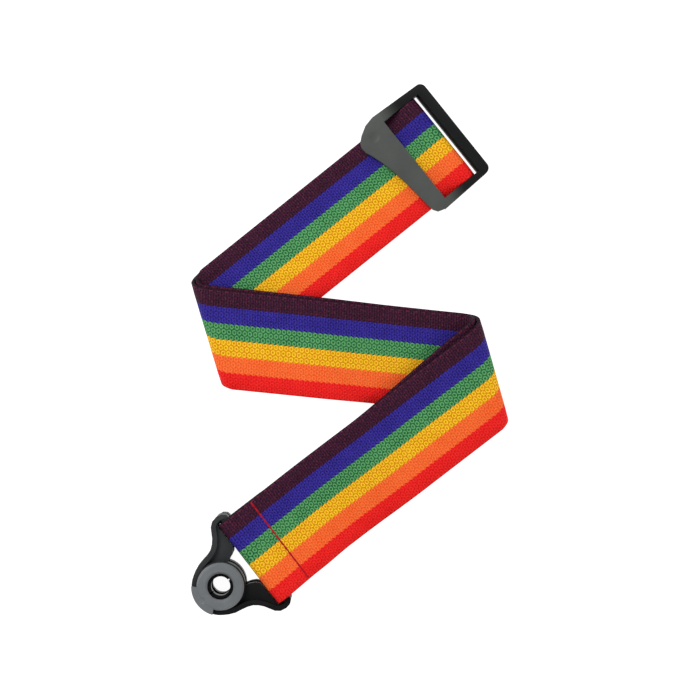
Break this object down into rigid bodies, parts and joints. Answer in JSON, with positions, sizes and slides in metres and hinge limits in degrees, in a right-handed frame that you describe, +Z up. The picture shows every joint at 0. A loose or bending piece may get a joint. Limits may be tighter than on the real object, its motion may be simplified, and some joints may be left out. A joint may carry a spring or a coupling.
{
  "type": "guitar strap",
  "caption": "Folded woven strap with rainbow stripes, a buckle slider at one end and round self-locking button locks at the other.",
  "frame": {"origin": "on the floor under the middle of the folded strap's box", "axes": "+Z up from the floor, +Y towards the slider's end, +X to the right with the striped face up and the slider away"},
  "size_m": [0.1649, 0.2735, 0.0172],
  "materials": {
    "striped_webbing": "woven",
    "slider_grey": "satin",
    "moulded_black": "satin",
    "moulded_grey": "satin",
    "jaw_black": "gloss",
    "steel": "drawn wire"
  },
  "bodies": {
    "strap": {"webbing": "striped_webbing", "lock_b_housing": "moulded_black", "lock_b_back_plate": "moulded_black", "lock_b_jaw_spring": "steel", "lock_b_ring_spring": "steel", "lock_b_screw_1": "steel", "lock_b_screw_2": "steel", "lock_b_screw_3": "steel"},
    "slider": {"slider_frame": "slider_grey"},
    "lock_a": {"lock_a_housing": "moulded_black", "lock_a_back_plate": "moulded_black", "lock_a_jaw_spring": "steel", "lock_a_ring_spring": "steel", "lock_a_screw_1": "steel", "lock_a_screw_2": "steel", "lock_a_screw_3": "steel"},
    "ring_a": {"lock_a_release_ring": "moulded_grey"},
    "jaw_a_left": {"lock_a_jaw_left": "jaw_black"},
    "jaw_a_right": {"lock_a_jaw_right": "jaw_black"},
    "ring_b": {"lock_b_release_ring": "moulded_grey"},
    "jaw_b_left": {"lock_b_jaw_left": "jaw_black"},
    "jaw_b_right": {"lock_b_jaw_right": "jaw_black"}
  },
  "joints": [
    {"name": "slider_tilt", "type": "hinge", "parent": "strap", "child": "slider", "pos_m": [0.04599, 0.10864, 0.0041], "axis": [-0.6252, 0.7804, 0], "range_deg": [0, 9]},
    {"name": "lock_a_swing", "type": "hinge", "parent": "strap", "child": "lock_a", "pos_m": [-0.04896, -0.10758, 0.0131], "axis": [-0.6101, 0.7923, 0], "range_deg": [0, 75]},
    {"name": "ring_a_twist", "type": "hinge", "parent": "lock_a", "child": "ring_a", "pos_m": [-0.06631, -0.12094, 0.0161], "axis": [0, 0, 1], "range_deg": [0, 20], "stiffness_Nm_per_rad": 0.02},
    {"name": "jaw_a_left_slide", "type": "slide", "parent": "lock_a", "child": "jaw_a_left", "axis": [0.6101, -0.7923, 0], "range_m": [0, 0.0012]},
    {"name": "jaw_a_right_slide", "type": "slide", "parent": "lock_a", "child": "jaw_a_right", "axis": [-0.6101, 0.7923, 0], "range_m": [0, 0.0012]},
    {"name": "ring_b_twist", "type": "hinge", "parent": "strap", "child": "ring_b", "pos_m": [-0.06641, -0.12114, 0.0071], "axis": [0, 0, 1], "range_deg": [0, 20], "stiffness_Nm_per_rad": 0.02},
    {"name": "jaw_b_left_slide", "type": "slide", "parent": "strap", "child": "jaw_b_left", "axis": [0.6101, -0.7923, 0], "range_m": [0, 0.0012]},
    {"name": "jaw_b_right_slide", "type": "slide", "parent": "strap", "child": "jaw_b_right", "axis": [-0.6101, 0.7923, 0], "range_m": [0, 0.0012]}
  ],
  "couplings": [
    {"joint": "jaw_a_left_slide", "follows": "ring_a_twist", "m_per_rad": 0.0034343},
    {"joint": "jaw_a_right_slide", "follows": "ring_a_twist", "m_per_rad": 0.0034343},
    {"joint": "jaw_b_left_slide", "follows": "ring_b_twist", "m_per_rad": 0.0034343},
    {"joint": "jaw_b_right_slide", "follows": "ring_b_twist", "m_per_rad": 0.0034343}
  ]
}
